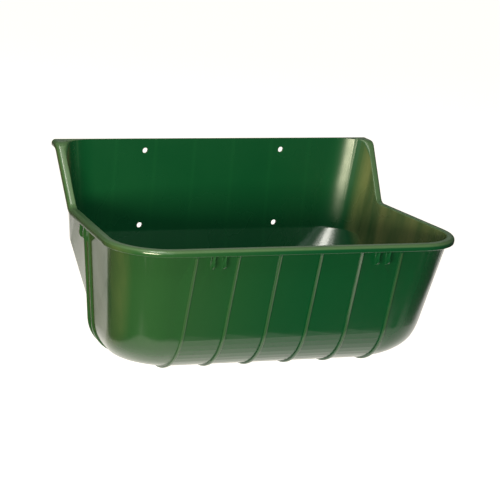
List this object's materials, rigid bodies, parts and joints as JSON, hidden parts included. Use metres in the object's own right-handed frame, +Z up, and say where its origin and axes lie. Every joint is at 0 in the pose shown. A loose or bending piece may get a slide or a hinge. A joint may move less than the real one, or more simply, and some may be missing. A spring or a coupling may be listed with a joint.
{
  "type": "feed trough",
  "caption": "One-piece moulded plastic feed trough with a deep ribbed basin, a rolled rim and a high flat back with holes for fixing it to a wall.",
  "frame": {"origin": "centre of the pattern of the four fixing holes, on the flat back face that lies against the wall", "axes": "+Y goes back into the wall, +Z is up, +X is to the right of someone who faces the trough"},
  "size_m": [0.6392, 0.4038, 0.3332],
  "materials": {
    "green_polyethylene": "semi-gloss moulded polyethylene, dark green right through"
  },
  "bodies": {
    "root": {"trough_shell": "green_polyethylene"}
  },
  "joints": []
}
